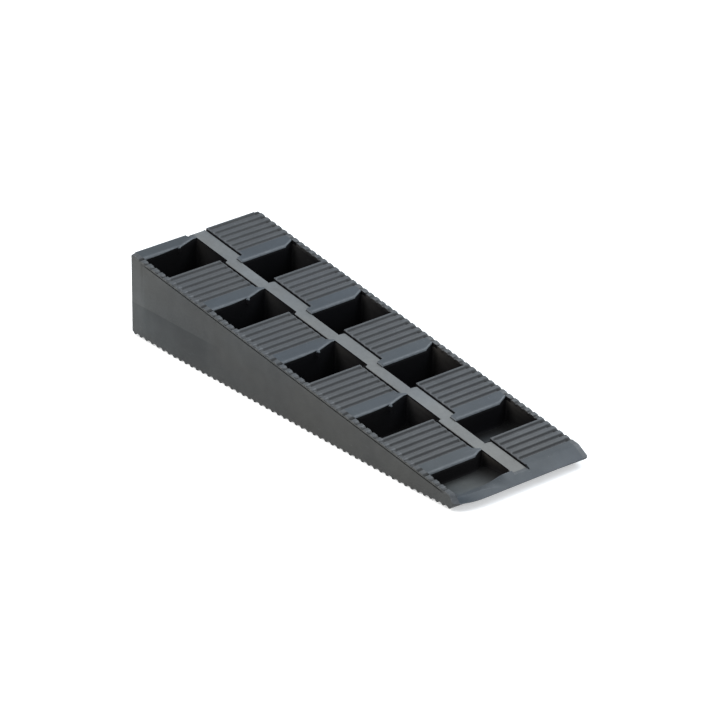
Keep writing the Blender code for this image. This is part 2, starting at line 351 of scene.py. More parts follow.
def pad_ends(values, count=1, mode="constant"):
    """A grid's marks with as many more at each end of a ring as its underside has points."""
    return np.pad(values, ((0, 0), (count, count)), mode=mode)


# ---- materials ----

class Graph:
    """Adds nodes to a material. An input is a number, a colour or another node's output."""

    def __init__(self, name):
        self.material = bpy.data.materials.new(name)
        self.material.use_nodes = True
        self.tree = self.material.node_tree
        self.shader = self.tree.nodes["Principled BSDF"]

    def feed(self, node, inputs):
        for key, value in inputs.items():
            socket = node.inputs[key]
            if isinstance(value, bpy.types.NodeSocket):
                self.tree.links.new(value, socket)
            else:
                socket.default_value = value

    def add(self, kind, inputs=None, **settings):
        node = self.tree.nodes.new(kind)
        for key, value in settings.items():
            setattr(node, key, value)
        self.feed(node, inputs or {})
        return node

    def place(self, stretch=(1.0, 1.0, 1.0)):
        here = self.add("ShaderNodeTexCoord").outputs["Object"]
        if stretch == (1.0, 1.0, 1.0):
            return here
        return self.add("ShaderNodeMapping", {"Vector": here, "Scale": stretch}).outputs["Vector"]

    def noise(self, scale, detail, stretch=(1.0, 1.0, 1.0), rough=0.55):
        inputs = {"Vector": self.place(stretch), "Scale": scale, "Detail": detail}
        inputs["Roughness"] = rough
        return self.add("ShaderNodeTexNoise", inputs).outputs["Fac"]

    def ramp(self, value, start, end, to_start=0.0, to_end=1.0):
        inputs = {"Value": value, 1: start, 2: end, 3: to_start, 4: to_end}
        return self.add("ShaderNodeMapRange", inputs, clamp=True).outputs["Result"]

    def math(self, operation, one, two):
        return self.add("ShaderNodeMath", {0: one, 1: two}, operation=operation).outputs["Value"]

    def blend(self, share, one, two, mode="MIX"):
        inputs = {0: share, 6: one, 7: two}
        node = self.add("ShaderNodeMix", inputs, data_type="RGBA", blend_type=mode)
        return node.outputs[2]

    def bump(self, noise, strength, distance):
        inputs = {"Height": self.noise(*noise), "Strength": strength, "Distance": distance}
        return self.add("ShaderNodeBump", inputs)

    def mark(self, name):
        return self.add("ShaderNodeAttribute", attribute_name=name).outputs["Fac"]


# Each noise of the plastics: its scale, its detail, its stretch along x, y and z and its roughness
CLOUDS = (16.0, 4.0)
FLECKS = (240.0, 3.0)
BANDS = (1.0, 2.0, (15.0, 15.0, 2.0))
WARMTH = (7.0, 3.0, (1.0, 1.0, 1.6))
SCUFFS = (520.0, 4.0, (1.0, 0.35, 1.0), 0.65)
SCRATCHES = (1.0, 2.0, (70.0, 900.0, 900.0), 0.5)
GLOSS = (60.0, 4.0)
SWELL = (55.0, 2.0)
GRAIN = (1300.0, 3.0)

# The part of a noise's range that is stretched to what follows
MIDDLE = (0.30, 0.70)
WIDE = (0.25, 0.75)
WARM_FROM = (0.42, 0.66)
SCUFF_FROM = (0.40, 0.66)
SCRATCH_FROM = (0.70, 0.76)

CLOUD_SHADES = (0.84, 1.15)
FLECK_SHADES = (0.90, 1.10)
DEEPEST_SHADE = 0.22
WARM_TINT = (1.10, 1.0, 0.88, 1.0)
WARM_SHARE = 0.80
LEAST_WEAR = 0.45
SCRATCH_SHARE = 0.30
SHINIER = 0.06
DULLER = 0.07
WORN_ROUGHNESS = -0.05
SWELL_STRENGTH = 0.22
SWELL_HEIGHT = 0.0004
GRAIN_HEIGHT = 0.00018


def clouded(graph, colour, bands, paler):
    """The colour with clouds, flecks and flow bands, painted shade in grooves and painted light
    along x.
    """
    cloud = graph.ramp(graph.noise(*CLOUDS), *MIDDLE, *CLOUD_SHADES)
    fleck = graph.ramp(graph.noise(*FLECKS), *WIDE, *FLECK_SHADES)
    band = graph.ramp(graph.noise(*BANDS), *MIDDLE, 1.0 - bands, 1.0 + bands)
    shade = graph.math("MULTIPLY", graph.math("MULTIPLY", cloud, fleck), band)
    # Painted shade: this mark darkens grooves, slits, the line under the teeth and the walls' faces
    # away from the heel
    painted_shade = graph.ramp(graph.mark("painted_shade"), 0.0, 1.0, 1.0, DEEPEST_SHADE)
    shade = graph.math("MULTIPLY", shade, painted_shade)
    # Painted light: lighter at the heel and darker at the toe, as the light falls off along x
    along = graph.add("ShaderNodeSeparateXYZ", {"Vector": graph.place()}).outputs["X"]
    along = graph.ramp(along, HEEL_X, NOSE_X, 1.0 + paler, 1.0 - paler)
    shade = graph.math("MULTIPLY", shade, along)
    tone = graph.add("ShaderNodeCombineXYZ", {0: shade, 1: shade, 2: shade}).outputs["Vector"]
    colour = graph.blend(1.0, colour, tone, "MULTIPLY")
    warm = graph.ramp(graph.noise(*WARMTH), *WARM_FROM)
    warmed = graph.blend(1.0, colour, WARM_TINT, "MULTIPLY")
    return graph.blend(graph.math("MULTIPLY", warm, WARM_SHARE), colour, warmed)


def plastic(
    name, body, second, worn, roughness, specular, grain, bands, wear,
    second_mark="tone_and_sheen", paler=0.0,
):
    """Moulded plastic: clouded colour, scuffed edges, a spark-eroded grain and faint sink marks.

    The second colour shows where second_mark is 1. paler paints light: it lightens the heel and
    darkens the toe. The scuffed edges are partly painted highlights.
    """
    graph = Graph(name)
    colour = graph.blend(graph.mark(second_mark), (*body, 1.0), (*second, 1.0))
    colour = clouded(graph, colour, bands, paler)
    scuff = graph.ramp(graph.noise(*SCUFFS), *SCUFF_FROM)
    patchy = graph.ramp(scuff, 0.0, 1.0, LEAST_WEAR, 1.0)
    edge = graph.math("MULTIPLY", graph.mark("edge"), patchy)
    edge = graph.math("MULTIPLY", edge, wear)
    colour = graph.blend(edge, colour, (*worn, 1.0))
    scratch = graph.ramp(graph.noise(*SCRATCHES), *SCRATCH_FROM)
    colour = graph.blend(graph.math("MULTIPLY", scratch, SCRATCH_SHARE), colour, (*worn, 1.0))
    rough = graph.ramp(graph.noise(*GLOSS), *WIDE, roughness - SHINIER, roughness + DULLER)
    rough = graph.math("ADD", rough, graph.math("MULTIPLY", edge, WORN_ROUGHNESS))
    swell = graph.bump(SWELL, SWELL_STRENGTH, SWELL_HEIGHT)
    fine = graph.bump(GRAIN, grain, GRAIN_HEIGHT)
    graph.feed(fine, {"Normal": swell.outputs["Normal"]})
    graph.feed(graph.shader, {"Base Color": colour, "Roughness": rough})
    graph.feed(graph.shader, {"Normal": fine.outputs["Normal"]})
    graph.shader.inputs["Specular IOR Level"].default_value = specular
    graph.shader.inputs["IOR"].default_value = 1.5
    return graph.material


# The tread's bluer second colour, on the smooth lands and the toe's chamfer, is a painted sky
# reflection. Its worn colour on the rounded rims is partly wear and partly a painted highlight, and
# paler paints light that falls off from the heel to the toe.
TREAD = plastic(
    "slate_tread_plastic",
    body=(0.0250, 0.0280, 0.0318), second=(0.0235, 0.0325, 0.0425), worn=(0.15, 0.165, 0.18),
    roughness=0.46, specular=0.50, grain=0.30, bands=0.03, wear=0.55, paler=0.09,
)
RAIL = plastic(
    "smooth_rail_plastic",
    body=(0.112, 0.121, 0.126), second=(0.036, 0.044, 0.053), worn=(0.22, 0.235, 0.245),
    roughness=0.42, specular=0.50, grain=0.18, bands=0.03, wear=0.40,
)
WALL = plastic(
    "mottled_wall_plastic",
    body=(0.0300, 0.0326, 0.0326), second=(0.0245, 0.0278, 0.0290), worn=(0.11, 0.115, 0.118),
    roughness=0.56, specular=0.40, grain=0.35, bands=0.05, wear=0.40,
)
# Painted shade: the pockets' sides, the webs and the sides of plates and walls in the pockets take
# this near-black copy of the plastic, with painted light as its second colour where lit is 1.
POCKET_SHADE = plastic(
    "painted_pocket_shade_plastic",
    body=(0.0050, 0.0050, 0.0058), second=(0.036, 0.035, 0.034), worn=(0.03, 0.03, 0.03),
    roughness=0.70, specular=0.06, grain=0.30, bands=0.08, wear=0.20, second_mark="lit",
)
# Painted shade and light: the pocket floors are near black, and lighter where the lit mark paints
# light on them.
SHADED_AND_LIT_FLOOR = plastic(
    "painted_shade_and_light_floor_plastic",
    body=(0.0060, 0.0060, 0.0062), second=(0.066, 0.076, 0.084), worn=(0.18, 0.19, 0.19),
    roughness=0.58, specular=0.14, grain=0.30, bands=0.05, wear=0.20, second_mark="lit",
)


# ---- deck plates ----

# How far in from each side of a plate its points lie, before the even ones between
MARGINS = np.array([0.0, 0.00012, 0.0003, 0.0006, 0.001, 0.0015, 0.0022, 0.0035, 0.006])
EVEN_POINTS = 7
PLATE_STEP = 0.00055

# How far down a plate's sides still look like its top; below it they take the painted pocket shade
SIDE_LIT = 0.0013

# Beside a slit the ribs keep a quarter of their depth, and the full depth this far from it
SHALLOW_FROM = 0.0002
SHALLOW_WIDTH = 0.0026
SHALLOW_SHARE = 0.75

# The land's bluer colour, a painted sky reflection, starts this far before the last crest and is
# full this far on
LAND_START = 0.30 * RIB_PITCH
LAND_BLEND = 0.25 * RIB_PITCH
CREST_WEAR = 0.20

TOOTH_BLUNT = 0.0004
TOOTH_STEP = 0.00005
BRIDGE_FALL = 0.0010
TOUCHING = 0.00001


def across(near, far):
    """y values from near to far for every ring."""
    width = far - near
    scale = np.minimum(1.0, 0.45 * width / MARGINS[-1])[:, None]
    left = near[:, None] + MARGINS[None, :] * scale
    right = far[:, None] - MARGINS[None, ::-1] * scale
    shares = np.linspace(0.0, 1.0, EVEN_POINTS + 2)[1:-1]
    middle = left[:, -1:] + (right[:, :1] - left[:, -1:]) * shares[None, :]
    return np.concatenate([left, middle, right], axis=1)


def between(near_side, far_side, start, end, step):
    """A grid between two sides: its x stations, and the x and y of every point."""
    xs = stations(start, end, step, [point[0] for point in near_side + far_side])
    y = across(sampler(near_side)(xs), sampler(far_side)(xs))
    return xs, np.repeat(xs[:, None], y.shape[1], axis=1), y


def plate(name, start, end, near_side, far_side, ribs, edges, slit_y, ramp=None):
    """A plate with ribs up to a smooth land. ribs is (first x, last x, a crest's x).

    The ribs grow shallow towards slit_y. ramp is the y where the plate starts to fall towards the
    rail and the y where it meets it.
    """
    xs, x, y = between(near_side, far_side, start, end, PLATE_STEP)
    first, last, crest_x = ribs
    share = np.where((x >= first) & (x <= last), rib_share(x, crest_x), 1.0)
    shallow = 1.0 - smooth((np.abs(y - slit_y) - SHALLOW_FROM) / SHALLOW_WIDTH)
    share = share + (1.0 - share) * SHALLOW_SHARE * shallow
    drop, nearness = fillets(x, y, edges)
    if ramp:
        drop = np.maximum(drop, RAIL_DROP * smooth((y - ramp[0]) / (ramp[1] - ramp[0])))
    z = crest(x) - RIB_DEPTH * (1.0 - share) - drop
    side = crest(xs) - SIDE_LIT
    near_mid = np.stack([xs, y[:, 0], np.minimum(side, z[:, 0])], axis=-1)[:, None, :]
    far_mid = np.stack([xs, y[:, -1], np.minimum(side, z[:, -1])], axis=-1)[:, None, :]
    rings = slab(x, y, z, crest(xs) - DECK_THICKNESS)
    rings = np.concatenate([rings[:, :1], near_mid, rings[:, 1:-1], far_mid, rings[:, -1:]], axis=1)
    # The smooth land takes the painted sky reflection
    tone_and_sheen = smooth((x - (last - LAND_START)) / LAND_BLEND)
    if last <= first:
        tone_and_sheen = np.ones_like(x)
    edge = np.maximum(nearness, CREST_WEAR * smooth((share - 0.6) / 0.4) * (1.0 - tone_and_sheen))
    marks = {"tone_and_sheen": pad_ends(tone_and_sheen, 2, "edge"), "edge": pad_ends(edge, 2)}
    # Painted shade in the grooves between the ribs
    marks["painted_shade"] = pad_ends(1.0 - share, 2, "edge")
    return build(f"{name}_skin", rings, False, marks)


def deck_face(center, normal):
    """Which material a face of a deck plate shows: tread, painted pocket shade or heel face."""
    if center.x < HEEL_X + TOUCHING:
        return 2
    beside_top = center.z > crest(center.x) - SIDE_LIT - 10 * TOUCHING
    aside = abs(normal.y) > DECK_LOOKS_ASIDE
    return 0 if normal.z > LOOKS_UP or aside and beside_top else 1


def near_slits():
    spans = [(HEEL_X, HEEL_X + HEEL_SLIT)]
    for (_, end), (next_start, _) in zip(NEAR_POCKETS, NEAR_POCKETS[1:]):
        spans.append((end + SLIT_START, next_start - NEAR_RISE - NEAR_BRIDGE))
    return spans


def far_slits():
    starts = [HEEL_X] + [end + SLIT_START for _, end in FAR_POCKETS]
    ends = [start - FAR_BRIDGE for start, _ in FAR_POCKETS] + [DECK_END]
    return list(zip(starts, ends))


def near_plate(name, start, pocket, cut, ribs, slit_end, tooth):
    """A plate of the near column: slit beside the rail, bridge, diagonal corner and tooth.

    tooth is how far the tooth reaches into the pocket, and 0 where there is none.
    """
    bridge = RAIL_NEAR + SEAM
    bend = bridge - cut
    slit_round = slit_end - SLIT_ROUND
    near_side = [(start, INNER_NEAR), (pocket, INNER_NEAR)]
    far_side = [(start, TREAD_NEAR)] + turn(slit_end, bridge, slit_round, TREAD_NEAR)[::-1]
    far_side += [(pocket - NEAR_RISE, bridge), (pocket, bend)]
    end = pocket
    start_rim = HEEL_LAND_RIM if start == HEEL_X else SLIT_RIM
    tooth_from = bend - TOOTH_WIDTH if tooth else bend
    edges = [
        ([(start, INNER_NEAR), (start, TREAD_NEAR)], start_rim),
        ([(start, TREAD_NEAR), (slit_round, TREAD_NEAR), (slit_end, bridge)], SLIT_RIM),
        ([(pocket - NEAR_RISE, bridge), (pocket, bend)], DIAGONAL_RIM),
        ([(pocket, INNER_NEAR), (pocket, tooth_from)], RIM),
    ]
    if tooth:
        end = pocket + tooth
        tip = bend - TOOTH_WIDTH / 2
        blunt_end = [(end, tip - TOOTH_BLUNT), (end, tip + TOOTH_BLUNT)]
        near_side += [(pocket + TOOTH_STEP, tooth_from), blunt_end[0]]
        far_side += blunt_end[1:]
        edges.append(([(pocket, tooth_from), *blunt_end, (pocket, bend)], TOOTH_RIM))
    ramp = (TREAD_NEAR - BRIDGE_FALL, bridge)
    piece = plate(name, start, end, near_side, far_side, ribs, edges, TREAD_NEAR, ramp)
    return dress(piece, [name], [TREAD, POCKET_SHADE, WALL], deck_face)


def far_plate(name, start, end, ribs, slit_end, corner):
    """A plate of the far column: slit beside the rail, wide bridge and cut far corner."""
    bridge = RAIL_FAR - SEAM
    slit_round = slit_end - SLIT_ROUND
    near_side = [(start, TREAD_FAR), (end, TREAD_FAR)]
    if corner:
        near_side = [(start, TREAD_FAR)] + turn(slit_end, bridge, slit_round, TREAD_FAR)[::-1]
        near_side += [(end, bridge)]
    far_side = [(start, INNER_FAR), (end, INNER_FAR)]
    start_rim = HEEL_LAND_RIM if start == HEEL_X else SLIT_RIM
    edges = [
        ([(start, TREAD_FAR), (start, INNER_FAR)], start_rim),
        ([(start, TREAD_FAR), (slit_round, TREAD_FAR), near_side[-2]], SLIT_RIM),
    ]
    if corner:
        edges.append(([(slit_end, bridge), (end, bridge)], BRIDGE_RIM))
        far_side = [(start, INNER_FAR), (end - FAR_RISE, INNER_FAR), (end, INNER_FAR - FAR_CUT)]
        edges.append(([(end - FAR_RISE, INNER_FAR), (end, INNER_FAR - FAR_CUT)], DIAGONAL_RIM))
        edges.append(([(end, bridge), (end, INNER_FAR - FAR_CUT)], RIM))
    piece = plate(name, start, end, near_side, far_side, ribs, edges, TREAD_FAR)
    return dress(piece, [name], [TREAD, POCKET_SHADE, WALL], deck_face)


def near_deck():
    slits = near_slits()
    teeth = [HEEL_TOOTH_REACH, TOOTH_REACH, TOOTH_REACH, TOOTH_REACH, 0.0]
    for number, (start, ribs_end, pocket) in enumerate(NEAR_PLATES):
        tooth = teeth[number]
        cut = NEAR_CUT if tooth else TOE_CUT
        name = f"near_tread_{number}" if number else "near_heel_land"
        near_plate(name, start, pocket, cut, (start, ribs_end, start), slits[number][1], tooth)


def far_deck():
    slits = far_slits()
    for number, (start, ribs_end, end) in enumerate(FAR_PLATES):
        ribs = (start, ribs_end, ribs_end)
        far_plate(f"far_tread_{number + 1}", start, end, ribs, slits[number][1], number < 4)


# ---- rail ----

RAIL_STEP = 0.0015
SHORTEST_STRETCH = 0.0001

# At the heel the rail's near shoulder has the colour of the land beside it
SHOULDER_TONE_Y = RAIL_NEAR + 0.0006
SHOULDER_TONE_WIDTH = 0.0012
SHOULDER_TONE_FADE = 0.004


def shoulder(edge, out, spans):
    """The rail's side: it steps out along each slit, with rounded corners."""
    points = []
    for start, end in spans:
        if start > HEEL_X:
            points += turn(start, edge, start + SHOULDER_ROUND, out)
        else:
            points.append((start, out))
        if end > DECK_END - SHOULDER_ROUND:
            return points + [(DECK_END, out)]
        points += turn(end, edge, end - SHOULDER_ROUND, out)[::-1]
    return points + [(DECK_END, edge)]


def rail_edges(side, bridges, edge):
    """The stretches of the rail's side that stand free, which are rounded."""
    stops = [HEEL_X] + [x for bridge in bridges for x in bridge] + [DECK_END]
    edges = []
    for start, end in zip(stops[::2], stops[1::2]):
        if end - start > SHORTEST_STRETCH:
            inside = [point for point in side if start <= point[0] <= end]
            straight = [(start, edge), (end, edge)]
            edges.append((inside if len(inside) > 1 else straight, RAIL_RIM))
    return edges


def centre_rail():
    """The smooth rail, which lies lower than the crests between the two columns."""
    near_side = shoulder(RAIL_NEAR, SHOULDER_NEAR + NEAR_SLIT_CLEARANCE, near_slits())[:-1]
    bend = TOE_POCKET_CORNER
    near_side += turn(DECK_END, RAIL_NEAR - bend, DECK_END - bend, RAIL_NEAR)[::-1]
    far_side = shoulder(RAIL_FAR, SHOULDER_FAR + FAR_SLIT_COVER, far_slits())
    near_bridges = []
    for pocket, _ in NEAR_POCKETS:
        near_bridges.append((pocket - NEAR_RISE - NEAR_BRIDGE, pocket - NEAR_RISE))
    far_bridges = [(pocket - FAR_BRIDGE, pocket) for pocket, _ in FAR_POCKETS]
    edges = [([(HEEL_X, SHOULDER_NEAR), (HEEL_X, SHOULDER_FAR)], HEEL_RIM)]
    edges += rail_edges(near_side, near_bridges, RAIL_NEAR)
    edges += rail_edges(far_side, far_bridges, RAIL_FAR)
    xs, x, y = between(near_side, far_side, HEEL_X, DECK_END, RAIL_STEP)
    drop, nearness = fillets(x, y, edges)
    rings = slab(x, y, crest(x) - RAIL_DROP - drop, crest(xs) - DECK_THICKNESS)
    tone_and_sheen = smooth((SHOULDER_TONE_Y - y) / SHOULDER_TONE_WIDTH)
    to_pocket = NEAR_POCKETS[0][0] - SHOULDER_TONE_FADE - x
    tone_and_sheen = tone_and_sheen * smooth(to_pocket / SHOULDER_TONE_FADE)
    marks = {"edge": pad_ends(nearness), "tone_and_sheen": pad_ends(tone_and_sheen)}
    piece = build("centre_rail_skin", rings, False, marks)
    return dress(piece, ["centre_rail"], [RAIL, POCKET_SHADE, WALL], deck_face)


# ---- walls ----

WALL_STEP = 0.0006
BESIDE_PLATE = 0.0001

# How much of each wall's heel is smooth, and how the teeth run out at both ends
NEAR_SMOOTH_HEEL = 0.015
FAR_SMOOTH_HEEL = 0.003
TEETH_FADE = 0.003
TEETH_STOP = 0.006
TEETH_WEAR = 0.75

# The parting line on the outer faces: below it the face stands proud, up to PARTING_END
PARTING_Z = 0.0395
PARTING_UNDER_LINE = 0.002
PARTING_END = (0.110, 0.150)
PARTING_STEP = 0.0003
BAND_SET_BACK = 0.0005

# The line under the teeth: a groove, with painted shade in it
LINE_DEPTH = 0.0010
LINE_HEIGHT = 0.0015
LINE_START = 0.014
LINE_START_FADE = 0.020
LINE_STOP_FADE = 0.012
LIP = 0.0001

# The edges of the walls, and where a quarter round's points lie as shares of its radius
QUARTER = (0.08, 0.29, 0.62)
WALL_RIM = 0.0007
WALL_RIM_SHARE = 0.45
THINNEST_RIM = 0.0002
HEEL_CORNER_FROM = 0.006
HEEL_CORNER_FADE = 0.008
FOOT_RIM = 0.0010
POCKET_SIDE_RIM = 0.00045
DECK_SIDE_RIM = 0.00002
POCKET_SIDE_FADE = 0.001
POCKET_SIDE_DIM = 0.9

# Painted shade on the outer faces: darker away from the heel, and a little less so towards the toe
FACE_SHADE = 0.50
FACE_SHADE_FROM = HEEL_X + 0.010
FACE_SHADE_LENGTH = 0.110
TOE_SHADE_EASE = 0.16
TOE_EASE_FROM = 0.12
TOE_EASE_LENGTH = 0.12


def corner_inset(x):
    """How far a wall's outer face stands back at the rounded corners."""
    from_end = np.minimum(x - HEEL_X, NOSE_X - x)
    inside = CORNER_RADIUS - np.clip(from_end, 0.0, CORNER_RADIUS)
    return CORNER_RADIUS - np.sqrt(CORNER_RADIUS ** 2 - inside ** 2)


def wall_stations(plates):
    """x values of a side wall, closer together at its corners and beside each plate's ends."""
    arc = [1.0 - math.cos(math.radians(angle)) for angle in range(0, 90, 9)]
    radii = (CORNER_RADIUS, HEEL_CORNER_RIM)
    extra = [HEEL_X + radius * reach for radius in radii for reach in arc]
    extra += [NOSE_X - CORNER_RADIUS * reach for reach in arc] + [DECK_END]
    for shift in (-BESIDE_PLATE, BESIDE_PLATE):
        extra += [x + shift for span in plates for x in span]
    return stations(HEEL_X, NOSE_X, WALL_STEP, extra)


def wall_tops(xs, share, crest_x, plates):
    """Heights of a wall's top over its outer face, and over its inner one beside the deck."""
    top = np.where(xs < DECK_END, crest(xs) - WALL_RIB_DEPTH * (1.0 - share), chamfer(xs))
    inner_top = top.copy()
    for start, ribs_end, end in plates:
        deck = crest(xs) - RIB_DEPTH * (1.0 - rib_share(xs, crest_x)) * (xs <= ribs_end)
        inner_top = np.where((xs >= start) & (xs <= end), deck, inner_top)
    at_heel = np.clip(1.0 - (xs - HEEL_X) / HEEL_CORNER_RIM, 0.0, 1.0)
    at_heel = HEEL_CORNER_RIM * (1.0 - np.sqrt(1.0 - at_heel * at_heel))
    return top - at_heel, inner_top - at_heel


def beside_pockets(xs, pockets):
    """1 beside a pocket, and how much painted light lies there on the wall's inner face."""
    in_pocket = np.zeros_like(xs)
    lit = np.zeros_like(xs)
    for start, end in pockets:
        inside = smooth((xs - start) / POCKET_SIDE_FADE) * smooth((end - xs) / POCKET_SIDE_FADE)
        in_pocket = np.maximum(in_pocket, inside)
        along = (xs - start) / (end - start)
        lit = np.maximum(lit, inside * (1.0 - POCKET_SIDE_DIM * along))
    return in_pocket, lit


def over_rings(values, xs):
    """Marks over the rings from one number or array for each point around."""
    return np.stack([np.broadcast_to(value, xs.shape) for value in values], axis=1)


def side_wall(name, outer, inner, plates, pockets, smooth_heel):
    """A side wall: serrated top and foot, a line under the teeth and a parting line."""
    sign = math.copysign(1.0, outer)
    inner = abs(inner)
    crest_x = pockets[0][1]
    xs = wall_stations(plates)
    from_heel = xs - HEEL_X
    to_stop = DECK_END - TEETH_STOP - xs
    teeth = smooth((from_heel - smooth_heel + TEETH_FADE) / TEETH_FADE)
    teeth = teeth * smooth(to_stop / TEETH_FADE)
    share = 1.0 - (1.0 - rib_share(xs, crest_x)) * teeth
    top, inner_top = wall_tops(xs, share, crest_x, plates)
    under_toe = nose_base(xs, foot(DECK_END, crest_x))
    bottom = np.where(xs < DECK_END, foot(xs, crest_x), under_toe)
    line = np.minimum(crest(xs), chamfer(xs)) - RIB_DEPTH
    line_share = smooth((from_heel - LINE_START) / LINE_START_FADE)
    line_share = line_share * smooth(to_stop / LINE_STOP_FADE)
    fade = 1.0 - smooth((from_heel - PARTING_END[0]) / (PARTING_END[1] - PARTING_END[0]))
    parting = np.minimum(PARTING_Z, line - PARTING_UNDER_LINE)
    face = abs(outer) - corner_inset(xs)
    band = face - BAND_SET_BACK * line_share
    low_face = np.minimum(face, band + PARTING_STEP * fade)
    groove = band - LINE_DEPTH * line_share
    at_corner = 1.0 - smooth((from_heel - smooth_heel + HEEL_CORNER_FROM) / HEEL_CORNER_FADE)
    rim = np.maximum(np.minimum(WALL_RIM, WALL_RIM_SHARE * (top - line)), THINNEST_RIM)
    rim = rim * (1.0 - at_corner) + HEEL_CORNER_RIM * at_corner
    in_pocket, lit = beside_pockets(xs, pockets)
    inner_rim = DECK_SIDE_RIM + POCKET_SIDE_RIM * in_pocket
    worn = TEETH_WEAR * smooth((share - 0.5) / 0.5)
    shade = FACE_SHADE * smooth((xs - FACE_SHADE_FROM) / FACE_SHADE_LENGTH)
    shade = shade - TOE_SHADE_EASE * smooth((xs - TOE_EASE_FROM) / TOE_EASE_LENGTH)
    in_line = np.maximum(shade, line_share)
    valley = 1.0 - share
    # Each point's reach, height, wear and painted shade: under the foot, up the face and over the
    # rim
    lower = [
        (inner, bottom, 0.0, 0.0),
        (low_face - FOOT_RIM, bottom, 0.0, shade),
        (low_face - 0.3 * FOOT_RIM, bottom + 0.3 * FOOT_RIM, 0.3, shade),
        (low_face, bottom + FOOT_RIM, 0.0, shade),
        (low_face, bottom + 3.0 * FOOT_RIM, 0.0, shade),
        (low_face, parting - 2.0 * LIP, 0.0, shade),
    ]
    upper = [
        (band, parting + 2.0 * LIP, 0.35 * fade, shade),
        (band, line - LINE_HEIGHT - 3.0 * LIP, 0.0, shade),
        (groove, line - LINE_HEIGHT, 0.0, in_line),
        (groove, line - 2.0 * LIP, 0.0, in_line),
        (face, line - LIP, 0.0, np.maximum(shade, 0.5 * line_share)),
        (face, top - rim, worn, 0.5 * shade),
        (face - QUARTER[0] * rim, top - QUARTER[2] * rim, worn, 0.0),
        (face - QUARTER[1] * rim, top - QUARTER[1] * rim, worn, 0.0),
        (face - QUARTER[2] * rim, top - QUARTER[0] * rim, 0.8 * worn, 0.0),
        (face - rim, top, 0.6 * worn, valley),
    ]
    # The same down the inner face, with the painted light on it
    inside = [
        (inner + inner_rim, inner_top, 0.6 * worn, valley, lit),
        (inner, inner_top - inner_rim, worn * in_pocket, valley, lit),
        (inner, line - 2.0 * LINE_HEIGHT, 0.0, 0.0, 0.7 * lit),
    ]
    placed = []
    height = bottom
    for reach, wanted, _, _ in lower + upper:
        height = np.clip(wanted, height, top)
        placed.append((xs, sign * np.maximum(reach, inner), height))
    for reach, wanted, _, _, _ in inside:
        placed.append((xs, sign * reach, np.clip(wanted, bottom, inner_top)))
    rings = sweep_toe(stack(*placed))
    around = lower + upper + inside
    marks = {
        "tone_and_sheen": over_rings([fade] * len(lower) + [0.0] * len(upper + inside), xs),
        "edge": over_rings([point[2] for point in around], xs),
        "painted_shade": over_rings([point[3] for point in around], xs),
        "lit": over_rings([0.0] * len(lower + upper) + [point[4] for point in inside], xs),
    }
    piece = build(f"{name}_skin", rings, False, marks)

    # Faces turned into the pockets take the painted pocket shade
    def choose(center, normal):
        if abs(normal.y) < LOOKS_ASIDE and normal.z > LOOKS_UP:
            return 1
        return 2 if normal.y * sign < -LOOKS_ASIDE else 0

    return dress(piece, [name], [WALL, TREAD, POCKET_SHADE], choose)


HEEL_POINTS = 61
HEEL_DISH = 0.00018
HEEL_WAVES = 5
HEEL_FOOT_RIM = 0.0009


def heel_wall():
    """The plate that closes the heel, a little dished by the moulding's shrinkage."""
    inside_x = high("heel_wall", 0)
    ys = np.linspace(INNER_NEAR, INNER_FAR, HEEL_POINTS)
    waves = np.linspace(0.0, HEEL_WAVES * math.pi, HEEL_POINTS)
    dish = HEEL_DISH * np.sin(waves) ** 2
    bottom = END_RELIEF + FOOT_DEPTH
    top = crest(HEEL_X) - DECK_THICKNESS
    outline = [
        (HEEL_X + HEEL_FOOT_RIM, bottom),
        (HEEL_X + HEEL_FOOT_RIM / 3.0, bottom + HEEL_FOOT_RIM / 3.0),
        (HEEL_X, bottom + HEEL_FOOT_RIM),
    ]
    outline += [(HEEL_X + dish, bottom + s * (top - bottom)) for s in (0.12, 0.3, 0.5, 0.7, 0.88)]
    outline += [(HEEL_X, top), (inside_x, top), (inside_x, bottom)]
    rings = stack(*[(x, ys, z) for x, z in outline])
    tone_and_sheen = (rings[:, :, 2] < PARTING_Z).astype(float)
    piece = build("heel_wall_skin", rings, False, {"tone_and_sheen": tone_and_sheen, "edge": np.zeros_like(tone_and_sheen)})
    return dress(piece, ["heel_wall"], [WALL])


# ---- toe ----

TOE_STEP = 0.0006
TOE_POINTS = 190
TOE_FINE_POINTS = 120
TOE_FINE = (RAIL_NEAR - 0.003, TREAD_FAR + 0.002)
TOE_POCKET_RIM = 0.0008
NOSE_RIM = 0.0006

# Where the rail's lower level blends into the toe on its near and far sides
TOE_RAIL_NEAR = (RAIL_NEAR - 0.0012, 0.0024)
TOE_RAIL_FAR = (TREAD_FAR + 0.0002, 0.0016)

# The end of the far slit, a groove with painted shade in it
TOE_SLIT_Y = TREAD_FAR - 0.0006
TOE_SLIT_HALF = 0.0004
TOE_SLIT_DEPTH = 0.0025

# How far the rail's colour runs on past the deck's end
RAIL_TONE_END = 0.0048
RAIL_TONE_INSET = 0.0012
RAIL_ZONE_END = 0.001


